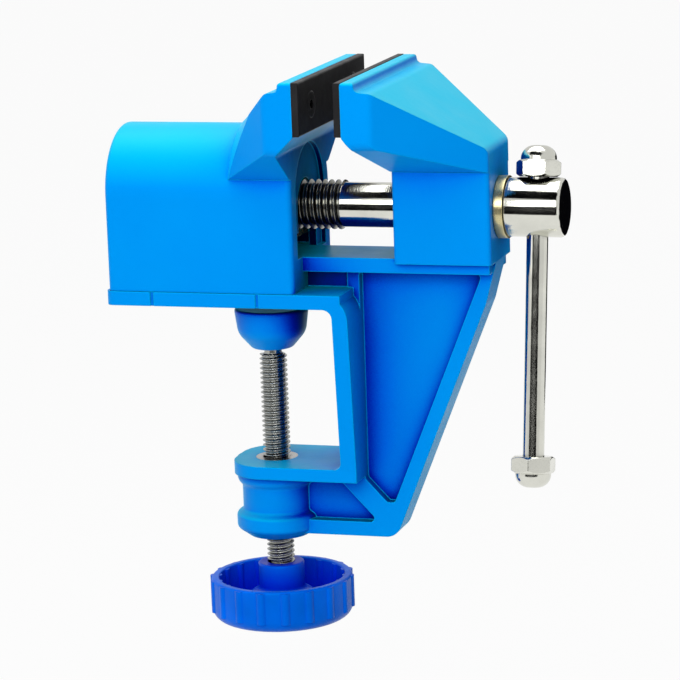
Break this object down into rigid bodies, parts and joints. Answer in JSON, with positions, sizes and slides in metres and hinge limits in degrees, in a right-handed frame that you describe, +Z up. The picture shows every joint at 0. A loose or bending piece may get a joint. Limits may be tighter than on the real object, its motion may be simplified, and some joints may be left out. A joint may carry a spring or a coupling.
{
  "type": "bench vise",
  "caption": "Clamp-on bench vise: two wide jaws closed by a lead screw with a sliding handle, on a C-frame clamped to a bench edge by a screw with a handwheel.",
  "frame": {"origin": "on the clamp screw's axis, in the underside of the base plate, where the bench top meets it", "axes": "+X along the lead screw, from the sliding jaw to the handle; +Y to the far side; +Z up"},
  "size_m": [0.129, 0.064, 0.1589],
  "materials": {
    "blue_paint": "gloss paint on a fine cast surface",
    "blue_plastic": "moulded, semi-gloss",
    "black_pad": "moulded, satin",
    "black_steel": "black oxide",
    "chrome": "bright chrome plate",
    "yellow_zinc": "yellow zinc plate",
    "brass": "machined",
    "steel": "machined",
    "zinc_steel": "bright zinc plate"
  },
  "bodies": {
    "frame": {"frame_casting": "blue_paint", "fixed_jaw_pad": "black_pad", "fixed_jaw_pad_screws": "black_steel", "lead_screw_grub": "black_steel", "clamp_bush": "steel", "thrust_washer": "yellow_zinc"},
    "carriage": {"sliding_jaw": "blue_paint", "sliding_jaw_pad": "black_pad", "sliding_jaw_pad_screws": "black_steel", "lead_nut": "brass"},
    "lead_screw": {"lead_screw": "chrome"},
    "handle": {"handle_bar": "chrome", "handle_nut_upper": "chrome", "handle_nut_lower": "chrome"},
    "pad_ring": {"pad_retaining_ring": "steel"},
    "pad": {"clamp_pad": "blue_paint"},
    "clamp": {"clamp_screw": "zinc_steel", "handwheel": "blue_plastic", "handwheel_washer": "zinc_steel", "handwheel_nut": "zinc_steel"}
  },
  "joints": [
    {"name": "jaw_slide", "type": "slide", "parent": "frame", "child": "carriage", "axis": [1, 0, 0], "range_m": [-0.03, 0.0096]},
    {"name": "lead_screw_turn", "type": "hinge", "parent": "frame", "child": "lead_screw", "pos_m": [0, 0, 0.02655], "axis": [1, 0, 0], "range_deg": [-1728.5, 5400.5]},
    {"name": "handle_slide", "type": "slide", "parent": "lead_screw", "child": "handle", "axis": [0, 0.1754, 0.9845], "range_m": [0, 0.0602]},
    {"name": "clamp_travel", "type": "slide", "parent": "frame", "child": "pad_ring", "axis": [0, 0, 1], "range_m": [-0.028, 0.0021]},
    {"name": "clamp_screw_turn", "type": "hinge", "parent": "pad_ring", "child": "clamp", "pos_m": [0, 0, 0], "axis": [0, 0, 1], "range_deg": [-7200.5, 540.5]},
    {"name": "pad_tilt", "type": "hinge", "parent": "pad_ring", "child": "pad", "pos_m": [0, 0, -0.009], "axis": [0, 1, 0], "range_deg": [-5, 5]}
  ],
  "couplings": [
    {"joint": "lead_screw_turn", "follows": "jaw_slide", "rad_per_m": -3141.6},
    {"joint": "clamp_screw_turn", "follows": "clamp_travel", "rad_per_m": 4488}
  ]
}
